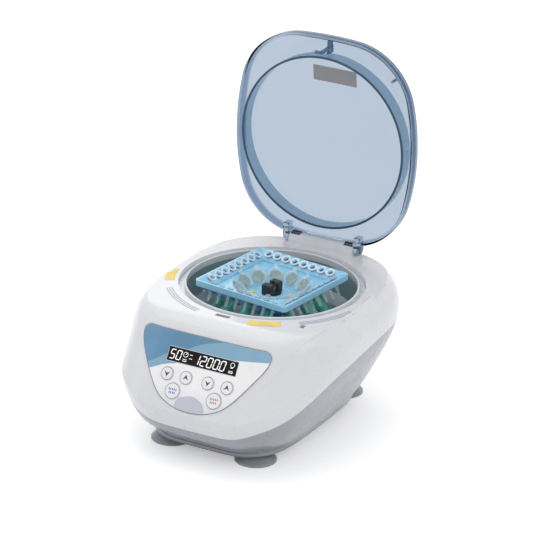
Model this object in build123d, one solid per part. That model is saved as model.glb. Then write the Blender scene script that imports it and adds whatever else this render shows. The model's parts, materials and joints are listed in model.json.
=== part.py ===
from build123d import *
from math import asin, atan2, ceil, cos, degrees, pi, radians, sin, sqrt, tan
import os

# Small bench centrifuge with a clear swing-up lid, millimetres, +Z up.
# Everything is drawn about the rotor's spin axis (X = Y = 0, bench at Z = 0, front towards -Y).
# At export each piece moves back by axis_to_centre, so the origin is the middle of the footprint.
axis_to_centre = 16.4

# Casing, outer sizes
deck_z = 112.0
floor_z = 8.0
body_half_width = 95.7
body_front = 138.0
body_rear = 104.0
casing_wall = 2.5
body_widest_y = 3.5
rear_squareness = 2.76
# One row per level: height, how far the side, the front and the rear stand in from the widest,
# and how square the front half is.
body_levels = [
    (floor_z, 33.2, 22.8, 34.0, 4.26),
    (22.0, 25.7, 11.0, 27.0, 4.26),
    (36.0, 18.2, 2.0, 20.4, 4.26),
    (50.0, 11.3, 0.0, 14.5, 4.26),
    (64.0, 4.9, 4.4, 8.9, 4.16),
    (78.0, 0.5, 14.4, 4.0, 3.74),
    (92.0, 0.0, 22.4, 0.4, 3.42),
    (deck_z - 8.0, 5.1, 30.0, 0.6, 3.58),
    (deck_z, 10.9, 35.6, 7.0, 3.76),
]
quarter_points = 6

# Front sheet: a plane that carries the keys, bowed back towards its side edges
panel_slope = 59.7
key_row_y = -123.2
key_row_z = 71.2
sheet_bend_radius = 25.0
sheet_run_out = 7.0
sheet_bow = 9.4
sheet_bow_at = 69.0
sheet_bow_power = 6
sheet_stations = [0.0, 30.0, 50.0, 60.0, 70.0, 80.0, 92.0]

# Joint line between the casing halves: height against depth, rising towards the rear
seam_line = [(-150, 21), (-136, 28), (-131, 36), (-119, 44.5), (-96, 56.5), (-71, 67), (-25, 77), (25, 81.5), (130, 83)]
slip = 0.2

# Chamber in the deck
lip_radius = 70.6
lip_wall = 1.6
groove_radius = 77.4
groove_floor_z = 106.5
collar_wall = 1.3
seal_foot = 0.8
bowl_wall = 1.5
bowl_floor_z = 68.0
bowl_floor_radius = 64.0
bowl_corner_radius = 9.0
bowl_flange_radius = 81.2
bowl_ear_radius = 85.0
bowl_ear_size = 4.2
bowl_ear_angles = (-35.0, 45.0)
spindle_hole_radius = 13.0

# Feet
foot_x = 38.9
foot_front_y = -94.3
foot_rear_y = 59.2
foot_radius = 17.5
foot_neck_radius = 7.5
foot_rim = 0.8
foot_cup_depth = 3.2
foot_screw_radius = 2.0
screw_gap = 0.1

# Casing posts and screws
front_post = (50.0, -74.0)
rear_post = (54.0, 67.0)
post_radius = 4.2
post_meet_z = 58.0
case_screw_radius = 1.5
screw_head_radius = 2.9
screw_head_height = 1.8

# Motor
mount_pitch = 34.0
mount_post_radius = 4.5
mount_post_top_z = 36.0
damper_height = 10.0
damper_radius = 6.5
motor_plate_thickness = 2.5
motor_plate_radius = 56.0
motor_radius = 27.0
motor_bottom_z = 14.0
motor_wall = 1.5
stator_inner_radius = 17.0
magnet_radius = 16.4
bearing_radius = 9.0
bearing_height = 5.0
shaft_radius = 4.0
shaft_gap = 0.05
shaft_bottom_z = 15.8

# Rotor
rotor_turn = -7.7
tray_half = 45.8
tray_top_z = 117.3
tray_skirt = 5.0
tray_corner = 3.4
tray_ledge = 1.6
band_slope = 28.0
band_inner_half = 34.5
recess_step = 1.5
tray_wall = 2.0
funnel_slope = 45.0
tube_ring_radius = 28.0
tube_ring_z = 106.0
tube_count = 12
tube_radius = 5.3
tube_wall = 0.9
tube_length = 38.0
tube_gap = 0.15
tube_lift = 0.55
cap_radius = 6.4
cap_height = 1.8
hub_radius = 12.5
hub_top_z = 103.0
nut_seat_z = 101.5
nut_seat_radius = 8.0
nut_radius = 7.0
nut_base_height = 3.4
nut_height = 10.5
nut_wing_thickness = 6.6
nut_wing_width = 4.8
nut_wing_offset = 5.5
thread_radius = 3.0
thread_top_z = 108.5
core_top_half = 43.4
core_bottom_half = 26.0
core_bottom_z = 96.0
core_hub_radius = 15.0
adapter_radius = 9.0
adapter_top_z = 88.0
adapter_height = 7.0

# Tube strips
strip_tubes = 8
strip_pitch = 9.0
strip_row_half = 39.4
strip_hole_radius = 3.05
strip_rim_radius = 3.9
strip_rim_height = 0.9
strip_stand = 2.0
strip_length = 16.5
strip_neck_radius = 2.95
strip_waist_radius = 1.75
strip_waist_depth = 9.5
strip_tip_radius = 1.15
strip_skin = 0.45

# Lid, drawn closed, then swung open about the hinge
hinge_y = 90.4
hinge_z = 118.2
lid_open_angle = 90.0
lid_half_width = 82.6
lid_front = 91.8
lid_rear = 89.8
lid_front_arcs = (232.0, 422.0, 57.3)
lid_rear_arcs = (198.0, 220.0, 56.6)
lid_gap = 0.4
lid_wall = 2.4
lid_top_z = 133.0
lid_dome_radius = 434.0
lid_edge_radius = 4.5
ring_radius = 73.9
ring_wall = 1.5
ring_bottom_z = 109.4
ring_seal_height = 0.7
hinge_ear_x = 21.0
hinge_ear_width = 8.0
hinge_ear_radius = 3.0
hinge_pin_radius = 1.2
hinge_gap = 0.35
outer_ear_x = 31.0
outer_ear_width = 5.0
outer_ear_radius = 5.2
hinge_block_half = 30.4
hinge_block_front = 85.0
hinge_block_top = 120.2

# Control panel
overlay_thickness = 0.5
overlay_half_width = 58.4
overlay_top = 36.6
overlay_bottom = -25.2
display_half_width = 31.5
display_low = 10.4
display_high = 22.3
arrow_key_radius = 5.4
large_key_radius = 6.6
arrow_keys = {"key_time_down": -27.4, "key_time_up": -10.1, "key_speed_down": 9.9, "key_speed_up": 27.3}
large_keys = {"key_short_spin": -18.8, "key_start_stop": 19.0}
large_key_drop = -12.6
key_height = 0.9
key_gap = 0.25
key_travel = 0.25
key_end_gap = 0.25
key_stem_radius = 1.8
switch_size = 6.0
board_depth = 10.5
board_thickness = 1.6
board_half_width = 45.0
board_low = -17.0
board_high = 27.0
board_post_x = 41.0
board_post_low = -8.0
board_post_high = 23.5

# Latch
latch_slot_y = -81.6
latch_slot_size = (13.0, 4.6)
hook_blade = (2.4, 2.2)
hook_nose = 4.2
hook_bottom_z = 101.5
hook_nose_height = 2.2
plunger_radius = 1.6
solenoid_half = 5.2
switch_slot_x = 63.5
switch_slot_y = -66.5
peg_radius = 1.1
peg_bottom_z = 108.6

# Rear panel and power entry
rear_panel_y = 80.0
rear_panel_half = 38.0
rear_panel_low = 32.0
rear_panel_high = 74.0
rear_panel_wall = 2.0
inlet_x = 15.0
inlet_z = 57.0
inlet_flange = (31.0, 25.0)
inlet_cavity = (24.0, 16.6)
inlet_depth = 16.0
fuse_drawer_z = 39.6
fuse_drawer_size = (24.0, 7.0)
fuse_travel = 22.0
rocker_x = -20.0
rocker_z = 53.0
rocker_size = (10.0, 16.0)
rocker_swing = 20.0

# Power board
power_board_half = 33.0
power_board_front = 41.0
power_board_rear = 65.5
power_board_z = 20.0

pieces = {}
small_screws = []


def body_section(level, inset):
    """Wire round the casing at one level, drawn in by inset: one spline for each quarter."""
    z, side, front, rear, front_squareness = level
    half = body_half_width - side - inset
    edges = []
    for quarter in range(4):
        n = front_squareness if quarter >= 2 else rear_squareness
        reach = body_front - front + body_widest_y if quarter >= 2 else body_rear - rear - body_widest_y
        points = []
        for i in range(quarter_points + 1):
            angle = pi / 2 * (quarter + i / quarter_points)
            c, s = cos(angle), sin(angle)
            if i in (0, quarter_points):
                c, s = round(c), round(s)
            scale = (abs(c) ** n + abs(s) ** n) ** (-1 / n)
            points.append(Vector(half * c * scale, body_widest_y + (reach - inset) * s * scale, z))
        headings = [Vector(-round(sin(pi / 2 * q)), round(cos(pi / 2 * q))) for q in (quarter, quarter + 1)]
        edges.append(Edge.make_spline(points, tangents=headings))
    return Wire(edges)


def level_at(z):
    """Row of body_levels at any height between the first and the last."""
    for low, high in zip(body_levels, body_levels[1:]):
        if low[0] <= z <= high[0]:
            share = (z - low[0]) / (high[0] - low[0])
            return tuple(a + share * (b - a) for a, b in zip(low, high))
    raise ValueError(z)


def body_mass(inset, bottom, top):
    """Loft through the levels between two heights."""
    between = [level for level in body_levels if bottom + 3 < level[0] < top - 3]
    rows = [level_at(bottom)] + between + [level_at(top)]
    return Solid.make_loft([body_section(row, inset) for row in rows])


def panel_point(depth, up, x=0.0):
    """Point on the front sheet: up its slope from the key row, and depth inwards from its face."""
    slope = radians(panel_slope)
    return Vector(
        x,
        key_row_y + up * cos(slope) + depth * sin(slope),
        key_row_z + up * sin(slope) - depth * cos(slope),
    )


def panel_plane(depth=0.0):
    """Plane of the front sheet, X to the right, Y up the slope, Z out of the face."""
    slope = radians(panel_slope)
    return Plane(origin=panel_point(depth, 0.0), x_dir=(1, 0, 0), z_dir=(0, -sin(slope), cos(slope)))


def sheet_bow_back(x):
    """How far the front sheet stands back at x."""
    return sheet_bow * (abs(x) / sheet_bow_at) ** sheet_bow_power


def sheet_cutter(drop):
    """Everything in front of and above the front sheet, the sheet lowered by drop.

    The sheet's slope bends over to run_out, and leaves through the deck at that small angle.
    """
    slope = radians(panel_slope)
    run_out = radians(sheet_run_out)
    top = deck_z - drop
    base = panel_point(drop, 0.0)
    low = panel_point(drop, (20.0 - key_row_z) / sin(slope))
    corner_y = base.Y + (top - base.Z) / tan(slope)
    radius = sheet_bend_radius - drop
    tangent = radius * tan(slope / 2)
    start_y = corner_y - tangent * cos(slope)
    start_z = top - tangent * sin(slope)
    centre_y = start_y + radius * sin(slope)
    centre_z = start_z - radius * cos(slope)

    def on_bend(angle):
        return centre_y - radius * sin(angle), centre_z + radius * cos(angle)

    end = on_bend(run_out)
    middle = on_bend((slope + run_out) / 2)
    far = (end[0] + 60, end[1] + 60 * tan(run_out))
    sections = []
    for x in [-s for s in reversed(sheet_stations[1:])] + sheet_stations:
        back = sheet_bow_back(x)
        corners = [(start_y, start_z), end, far, (far[0], 170), (-240, 170), (-240, low.Z), (low.Y, low.Z)]
        ring = [Vector(x, y + back, z) for y, z in corners]
        bend = Edge.make_three_point_arc(ring[0], Vector(x, middle[0] + back, middle[1]), ring[1])
        lines = [Edge.make_line(a, b) for a, b in zip(ring[1:], ring[2:] + ring[:1])]
        sections.append(Wire([bend] + lines))
    return Solid.make_loft(sections)


def seam_cutter(upper):
    """Block above (or below) the joint line."""
    points = [Vector(-120, y, z) for y, z in seam_line]
    limit = 190 if upper else -20
    first, last = points[0], points[-1]
    edges = [
        Edge.make_spline(points),
        Edge.make_line(last, Vector(-120, last.Y, limit)),
        Edge.make_line(Vector(-120, last.Y, limit), Vector(-120, first.Y, limit)),
        Edge.make_line(Vector(-120, first.Y, limit), first),
    ]
    return extrude(Face(Wire(edges)), amount=240, dir=(1, 0, 0))


def box(x0, x1, y0, y1, z0, z1):
    """Box between two corners."""
    return Pos((x0 + x1) / 2, (y0 + y1) / 2, (z0 + z1) / 2) * Box(x1 - x0, y1 - y0, z1 - z0)


def rod(radius, z0, z1, x=0.0, y=0.0):
    """Upright cylinder between two heights."""
    return Pos(x, y, (z0 + z1) / 2) * Cylinder(radius, z1 - z0)


def pipe(outer, inner, z0, z1, x=0.0, y=0.0):
    """Upright ring between two heights."""
    return rod(outer, z0, z1, x, y) - rod(inner, z0 - 1, z1 + 1, x, y)


def turned(points):
    """Solid of revolution about Z from (radius, z) points."""
    profile = Polyline(*[(r, 0, z) for r, z in points], close=True)
    return revolve(make_face(profile), axis=Axis.Z)


def cross_rod(radius, x0, x1, y, z):
    """Cylinder along X."""
    return Pos((x0 + x1) / 2, y, z) * Rot(0, 90, 0) * Cylinder(radius, x1 - x0)


def depth_rod(radius, y0, y1, x, z):
    """Cylinder along Y."""
    return Pos(x, (y0 + y1) / 2, z) * Rot(90, 0, 0) * Cylinder(radius, y1 - y0)


def panel_rod(radius, depth0, depth1, x, up):
    """Cylinder square to the front sheet, between two depths."""
    plane = panel_plane(depth1)
    return plane.location * Pos(x, up, (depth1 - depth0) / 2) * Cylinder(radius, depth1 - depth0)


def panel_box(x0, x1, up0, up1, depth0, depth1):
    """Box square to the front sheet, between two depths."""
    plane = panel_plane(depth1)
    block = Box(x1 - x0, up1 - up0, depth1 - depth0)
    return plane.location * Pos((x0 + x1) / 2, (up0 + up1) / 2, (depth1 - depth0) / 2) * block


def screw(x, y, z, length, radius, up=True):
    """Pan-head screw whose shank starts at z and points up or down."""
    sign = 1 if up else -1
    ends = sorted((z, z + sign * length))
    heads = sorted((z, z - sign * screw_head_height))
    return rod(radius, ends[0], ends[1], x, y) + rod(screw_head_radius, heads[0], heads[1], x, y)


def four_corners(x, y_front, y_rear):
    """Left and right places at a front and a rear depth."""
    return [(side * x, y) for y in (y_front, y_rear) for side in (-1, 1)]


def case_posts():
    """Places of the four casing screws."""
    return [(side * x, y) for x, y in (front_post, rear_post) for side in (-1, 1)]


def keep(name, *shapes):
    """Stores one node, as one solid or a group of separate solids."""
    solids = [solid for shape in shapes for solid in shape.solids()]
    pieces[name] = solids[0] if len(solids) == 1 else Compound(children=solids)


# Casing
def casing():
    """Outer skin less inner skin, cut along the joint line into the housing and the pan."""
    outer = body_mass(0.0, floor_z, deck_z) - sheet_cutter(0.0)
    inner = body_mass(casing_wall, floor_z + casing_wall, deck_z - casing_wall) - sheet_cutter(casing_wall)
    shell = outer - inner
    alcove_wall, alcove_room = alcove_boxes()

    housing = shell & seam_cutter(True)
    deck_bottom = deck_z - casing_wall
    housing += pipe(groove_radius + collar_wall, groove_radius, groove_floor_z, deck_bottom)
    for x, y in case_posts():
        housing += rod(post_radius, post_meet_z, deck_bottom, x, y) & outer
    for x, y in bowl_ear_places():
        housing += rod(bowl_ear_size, groove_floor_z, deck_bottom, x, y)
    for x, up in board_posts():
        housing += panel_rod(2.6, casing_wall - 0.6, board_depth, x, up)
    housing -= rod(groove_radius, groove_floor_z - 20, deck_z + 5)
    housing -= latch_slot() + switch_slot()
    housing -= panel_openings()
    for x, y in case_posts():
        housing -= rod(case_screw_radius + screw_gap, post_meet_z - 1, post_meet_z + 12, x, y)
    for x, y in bowl_ear_places():
        housing -= rod(1.1, groove_floor_z - 1, groove_floor_z + 2.4, x, y)
    for x, up in board_posts():
        housing -= panel_rod(1.1, board_depth - 5.0, board_depth + 1, x, up)
    keep("upper_housing", housing)

    pan = shell & seam_cutter(False)
    post_room = body_mass(casing_wall / 2, floor_z + 0.5, deck_z)
    for x, y in case_posts():
        pan += rod(post_radius, floor_z + 0.5, post_meet_z, x, y) & post_room
    for x, y in mount_places():
        pan += rod(mount_post_radius, floor_z + 1, mount_post_top_z, x, y)
    for x, y in power_board_posts():
        pan += rod(2.6, floor_z + 1, power_board_z, x, y)
    pan -= alcove_wall
    for x, y in case_posts():
        pan -= rod(case_screw_radius + screw_gap, floor_z - 1, post_meet_z + 1, x, y)
        pan -= rod(screw_head_radius + 0.3, floor_z - 1, post_meet_z - 14, x, y)
    for x, y in mount_places():
        pan -= rod(1.4, mount_post_top_z - 12, mount_post_top_z + 1, x, y)
    for x, y in power_board_posts():
        pan -= rod(1.1, power_board_z - 6, power_board_z + 1, x, y)
    for x, y in foot_places():
        pan -= rod(foot_screw_radius + screw_gap, floor_z - 1, floor_z + casing_wall + 1, x, y)
        pan -= rod(3.9, floor_z + casing_wall, floor_z + casing_wall + 4, x, y)
    pan -= floor_vents()
    keep("base_pan", pan)
    keep("rear_panel", rear_panel(outer, alcove_wall, alcove_room))
    return outer


def alcove_boxes():
    """The block that holds the rear panel, and the open room behind it."""
    w = rear_panel_wall
    half, low, high = rear_panel_half, rear_panel_low, rear_panel_high
    block = box(-half - w, half + w, rear_panel_y - w, 130, low - w, high + w)
    room = box(-half, half, rear_panel_y, 140, low, high)
    return block, room


def rear_panel(outer, block, room):
    """Recessed plate with its side walls, flush with the casing, with its cut-outs."""
    plate = (block - room) & outer
    plate -= depth_box(inlet_x, inlet_z, *grown(inlet_cavity, 3.0), 70, 90)
    plate -= depth_box(inlet_x, fuse_drawer_z, *grown(fuse_drawer_size, 3.0), 70, 90)
    plate -= depth_box(rocker_x, rocker_z, *grown(rocker_size, 3.0), 70, 90)
    return plate


def grown(size, by):
    """A width and height, each larger by the same amount."""
    return size[0] + by, size[1] + by


def depth_box(x, z, width, height, y0, y1):
    """Box centred at x and z, between two depths."""
    return box(x - width / 2, x + width / 2, y0, y1, z - height / 2, z + height / 2)


def bowl_ear_places():
    """Places where the chamber bolts up under the deck."""
    places = []
    for angle in bowl_ear_angles:
        x, y = bowl_ear_radius * cos(radians(angle)), bowl_ear_radius * sin(radians(angle))
        places += [(-x, y), (x, y)]
    return places


def mount_places():
    """Places of the motor's rubber mounts."""
    return four_corners(mount_pitch, -mount_pitch, mount_pitch)


def foot_places():
    """Places of the four feet."""
    return four_corners(foot_x, foot_front_y, foot_rear_y)


def power_board_posts():
    """Places of the power board's posts."""
    inset = 4.0
    return four_corners(power_board_half - inset, power_board_front + inset, power_board_rear - inset)


def board_posts():
    """Places of the control board's posts on the front sheet."""
    return [(side * board_post_x, up) for up in (board_post_low, board_post_high) for side in (-1, 1)]


def floor_vents():
    """Two rows of air slots in the floor, under the motor."""
    slots = None
    for side in (-1, 1):
        for i in range(6):
            y = -25 + 10 * i
            slot = box(side * 16 - 10, side * 16 + 10, y - 1.5, y + 1.5, floor_z - 1, floor_z + casing_wall + 1)
            slots = slot if slots is None else slots + slot
    return slots


def latch_slot():
    """Slot in the deck that the lid's hook drops through."""
    w, d = latch_slot_size
    return box(-w / 2 - 1, w / 2 - 1, latch_slot_y - d / 2, latch_slot_y + d / 2, deck_z - 12, deck_z + 3)


def switch_slot():
    """Small slot in the deck for the lid switch."""
    return box(
        switch_slot_x - 2.0, switch_slot_x + 2.0, switch_slot_y - 3.0, switch_slot_y + 3.0, deck_z - 12, deck_z + 3
    )


def panel_openings():
    """Display window and key stem holes through the front sheet."""
    margin = 1.0
    cut = panel_box(
        -display_half_width + margin, display_half_width - margin, display_low + margin, display_high - margin, -2, 5
    )
    for x, up, radius in key_places().values():
        cut += panel_rod(key_stem_radius + key_gap, -2, 5, x, up)
    return cut


def key_places():
    """Every key's x, height up the slope, and radius."""
    places = {name: (x, 0.0, arrow_key_radius) for name, x in arrow_keys.items()}
    places.update({name: (x, large_key_drop, large_key_radius) for name, x in large_keys.items()})
    return places


# Feet
def feet():
    """Suction cups: a flared cup with a thin rim, a neck, and a screw up through the floor."""
    cups, screws = [], []
    for x, y in foot_places():
        profile = [
            (foot_screw_radius + screw_gap, foot_cup_depth),
            (foot_radius - 5.5, foot_cup_depth - 0.8),
            (foot_radius - 2.2, 0.0),
            (foot_radius, 0.0),
            (foot_radius, foot_rim),
            (foot_radius - 1.0, foot_rim + 1.2),
            (foot_radius - 4.0, foot_rim + 3.6),
            (foot_neck_radius + 1.2, floor_z - 1.2),
            (foot_neck_radius, floor_z),
            (foot_screw_radius + screw_gap, floor_z),
        ]
        cups.append(Pos(x, y, 0) * turned(profile))
        nut_bottom = floor_z + casing_wall
        stud = rod(foot_screw_radius, foot_cup_depth, nut_bottom + 3.4, x, y)
        screws.append(stud + pipe(3.6, foot_screw_radius - 0.5, nut_bottom, nut_bottom + 2.4, x, y))
    keep("suction_feet", *cups)
    keep("foot_studs", *screws)


def case_screws():
    """Screws up through the pan's posts into the housing's posts, and the chamber's screws."""
    long_screws = [screw(x, y, post_meet_z - 14, 24, case_screw_radius) for x, y in case_posts()]
    keep("case_screws", *long_screws)
    under = groove_floor_z - bowl_wall
    small_screws.extend(screw(x, y, under, 3.5, 1.0) for x, y in bowl_ear_places())


# Chamber
def chamber():
    """Deep-drawn bowl with a flange under the deck, and the white sealing lip on it."""
    wall = bowl_wall
    inner = lip_radius
    top = groove_floor_z
    bend = bowl_corner_radius
    inside = [
        (spindle_hole_radius, bowl_floor_z),
        (bowl_floor_radius - bend, bowl_floor_z),
        (bowl_floor_radius - 0.3 * bend, bowl_floor_z + 0.3 * bend),
        (bowl_floor_radius + 0.6, bowl_floor_z + bend),
        (inner, top - 22.0),
        (inner, top),
    ]
    outside = [
        (bowl_flange_radius, top),
        (bowl_flange_radius, top - wall),
        (inner + wall, top - wall),
        (inner + wall, top - 22.0),
        (bowl_floor_radius + 0.6 + wall, bowl_floor_z + bend - 0.4),
        (bowl_floor_radius - 0.3 * bend + wall * 0.8, bowl_floor_z + 0.3 * bend - wall * 0.8),
        (bowl_floor_radius - bend + 0.5, bowl_floor_z - wall),
        (spindle_hole_radius, bowl_floor_z - wall),
    ]
    bowl = turned(inside + outside)
    for x, y in bowl_ear_places():
        bowl += rod(bowl_ear_size, top - wall, top, x, y) - rod(bowl_flange_radius - 0.5, top - 9, top + 9)
    for x, y in bowl_ear_places():
        bowl -= rod(1.1, top - 9, top + 9, x, y)
    bowl -= box(-20.0, 6.0, -95, latch_slot_y + 3.3, top - 9, top + 9)
    keep("chamber_bowl", bowl)

    foot_edge = groove_radius - slip
    seal = turned(
        [
            (inner, top),
            (foot_edge, top),
            (foot_edge, top + seal_foot),
            (inner + lip_wall, top + seal_foot),
            (inner + lip_wall, deck_z - 0.6),
            (inner + lip_wall - 0.6, deck_z),
            (inner + 0.5, deck_z),
            (inner, deck_z - 0.5),
        ]
    )
    keep("rim_seal", seal)
    floor_top = bowl_floor_z
    boot = turned(
        [
            (shaft_radius + 1.2, floor_top + 0.2),
            (spindle_hole_radius + 5, floor_top),
            (spindle_hole_radius + 5, floor_top + 1.2),
            (shaft_radius + 4.5, floor_top + 2.4),
            (shaft_radius + 3.2, floor_top + 6.5),
            (shaft_radius + 1.2, floor_top + 6.5),
        ]
    )
    keep("spindle_boot", boot)


# Motor
def motor():
    """Plate on rubber mounts, a can hung below it with its winding, and the bearings."""
    plate_z = mount_post_top_z + damper_height
    plate_top = plate_z + motor_plate_thickness
    plate = pipe(motor_plate_radius, bearing_radius, plate_z, plate_top)
    dampers, screws = [], []
    for x, y in mount_places():
        plate -= rod(2.2, plate_z - 1, plate_top + 1, x, y)
        dampers.append(pipe(damper_radius, 1.7, mount_post_top_z, plate_z, x, y))
        screws.append(screw(x, y, plate_top, damper_height + motor_plate_thickness + 9, 1.3, up=False))
    keep("motor_plate", plate)
    keep("motor_dampers", *dampers)
    keep("motor_screws", *screws)

    can = pipe(motor_radius, motor_radius - motor_wall, motor_bottom_z, plate_z)
    can += pipe(motor_radius - motor_wall, bearing_radius, motor_bottom_z, motor_bottom_z + bearing_height)
    can += pipe(bearing_radius + 2, shaft_radius + 1, motor_bottom_z, motor_bottom_z + 1.2)
    keep("motor_can", can)
    lower = motor_bottom_z + 1.2
    upper = plate_top - bearing_height
    bore = shaft_radius + shaft_gap
    rings = [pipe(bearing_radius, bore, z, z + bearing_height) for z in (lower, upper)]
    rings[0] = pipe(bearing_radius, bore, lower, motor_bottom_z + bearing_height + 1.2)
    keep("motor_bearings", *rings)

    stator_low, stator_high = motor_bottom_z + bearing_height + 4, plate_z - 7
    outer = motor_radius - motor_wall
    ring = pipe(outer, outer - 2.0, stator_low, stator_high)
    for i in range(9):
        tooth = box(stator_inner_radius, outer - 1.0, -2.0, 2.0, stator_low, stator_high)
        ring += Rot(0, 0, i * 40) * tooth
    keep("stator_core", ring)
    coils = []
    for i in range(9):
        coil = box(stator_inner_radius + 1.4, outer - 2.6, -3.0, 3.0, stator_low - 2, stator_high + 2)
        coil -= box(0, outer, -2.0, 2.0, stator_low, stator_high)
        coils.append(Rot(0, 0, i * 40) * coil)
    keep("stator_coils", *coils)
    keep("motor_magnet", pipe(magnet_radius, shaft_radius, stator_low, stator_high))


# Spindle and rotor
def spindle():
    """Shaft with its threaded end, and the steel seat that the rotor stands on."""
    shaft = rod(shaft_radius, shaft_bottom_z, core_bottom_z + 1)
    shaft += rod(thread_radius, core_bottom_z, thread_top_z)
    keep("spindle", shaft)
    seat = pipe(adapter_radius, shaft_radius, adapter_top_z - adapter_height, adapter_top_z)
    seat += pipe(adapter_radius - 2.5, shaft_radius, adapter_top_z - adapter_height - 5, adapter_top_z - adapter_height)
    keep("rotor_seat", seat)


def square_frustum(half_low, z_low, half_high, z_high):
    """Four-sided pyramid stump."""
    low = Pos(0, 0, z_low) * Rectangle(2 * half_low, 2 * half_low)
    high = Pos(0, 0, z_high) * Rectangle(2 * half_high, 2 * half_high)
    return loft([low.face(), high.face()], ruled=True)


def band_z(half):
    """Height of the tray's sloping band at a distance from the axis."""
    return tray_top_z - (tray_half - tray_ledge - half) * tan(radians(band_slope))


def rotor_places():
    """Angles of the round tubes about the axis."""
    return [i * 360 / tube_count for i in range(tube_count)]


def leaning(angle, radius, height, lean):
    """Location whose -Z points outwards and down at the given lean from the vertical."""
    return Rot(0, 0, angle) * Pos(radius, 0, height) * Rot(0, -lean, 0)


def strip_location(side, along):
    """Place on the band of one strip tube, -Z pointing down its bore."""
    return Rot(0, 0, side * 90) * Pos(strip_row_half, along, band_z(strip_row_half)) * Rot(0, -band_slope, 0)


def strip_rows():
    """Offsets of a strip's tubes along the tray's side."""
    return [(i - (strip_tubes - 1) / 2) * strip_pitch for i in range(strip_tubes)]


def rotor():
    """Square tray with a sloping band for strips and a funnel for round tubes, on a dark core."""
    skirt_z = tray_top_z - tray_skirt
    band_in_z = band_z(band_inner_half)
    recess_z = band_in_z - recess_step
    steep = tan(radians(funnel_slope))
    funnel_floor_r = tube_ring_radius - (cap_radius + 0.4) * cos(radians(funnel_slope))
    funnel_floor_z = tube_ring_z - (cap_radius + 0.4) * sin(radians(funnel_slope))
    funnel_top_r = funnel_floor_r + (recess_z - funnel_floor_z) / steep
    wall_r = tray_wall / sin(radians(funnel_slope))
    floor_under = funnel_floor_z - tray_wall

    outside = box(-tray_half, tray_half, -tray_half, tray_half, skirt_z, tray_top_z)
    corners = outside.edges().filter_by(Axis.Z)
    outside = fillet(corners, tray_corner)
    under = square_frustum(band_inner_half + 1.0, recess_z - tray_wall, band_inner_half + 2.0, skirt_z)
    funnel_out = turned(
        [
            (0, floor_under),
            (funnel_floor_r + wall_r - tray_wall, floor_under),
            (funnel_top_r + wall_r, recess_z),
            (0, recess_z),
        ]
    )
    blank = outside + under + funnel_out
    band = square_frustum(band_inner_half, band_in_z, tray_half - tray_ledge, tray_top_z)
    band += box(
        -band_inner_half, band_inner_half, -band_inner_half, band_inner_half, recess_z, band_in_z + 0.01
    )
    funnel = turned(
        [(0, funnel_floor_z), (funnel_floor_r, funnel_floor_z), (funnel_top_r, recess_z), (0, recess_z)]
    )
    tray = blank - band - funnel
    tray += rod(hub_radius, funnel_floor_z - 0.5, hub_top_z)
    tray -= rod(nut_seat_radius, nut_seat_z, hub_top_z + 1)
    tray -= rod(thread_radius + 0.2, floor_under - 1, hub_top_z)

    core = square_frustum(core_bottom_half, core_bottom_z, core_top_half, skirt_z)
    core += rod(core_hub_radius, adapter_top_z, core_bottom_z)
    core -= blank
    core -= rod(shaft_radius + shaft_gap, adapter_top_z - 1, core_bottom_z + 1.2)
    core -= rod(thread_radius + 0.2, core_bottom_z, skirt_z)

    tube_hole = Pos(0, 0, -tube_length / 2) * Cylinder(tube_radius + tube_gap, tube_length + 6)
    for angle in rotor_places():
        hole = leaning(angle, tube_ring_radius, tube_ring_z, funnel_slope) * tube_hole
        tray -= hole
        core -= hole
    strip_hole = Pos(0, 0, -6) * Cylinder(strip_hole_radius, 22)
    for side in range(4):
        for along in strip_rows():
            hole = strip_location(side, along) * strip_hole
            tray -= hole
            core -= hole
    turn = Rot(0, 0, rotor_turn)
    keep("rotor_tray", turn * tray)
    keep("rotor_core", turn * core)

    nut()
    round_tubes(turn)
    strips(turn)


def nut():
    """Two-winged nut that holds the rotor down."""
    body = rod(nut_radius, nut_seat_z, nut_seat_z + nut_base_height)
    top = nut_seat_z + nut_height
    for side in (-1, 1):
        half = nut_wing_thickness / 2
        wing = box(-nut_wing_width, nut_wing_width, -half, half, hub_top_z + 0.4, top)
        wing = fillet(wing.edges().filter_by(Axis.Z), 1.2)
        wing = chamfer(wing.faces().sort_by(Axis.Z)[-1].edges(), 0.7)
        body += Pos(0, side * nut_wing_offset, 0) * wing
    body -= rod(thread_radius + shaft_gap, nut_seat_z - 1, top + 1)
    keep("rotor_nut", Rot(0, 0, rotor_turn) * body)


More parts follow.
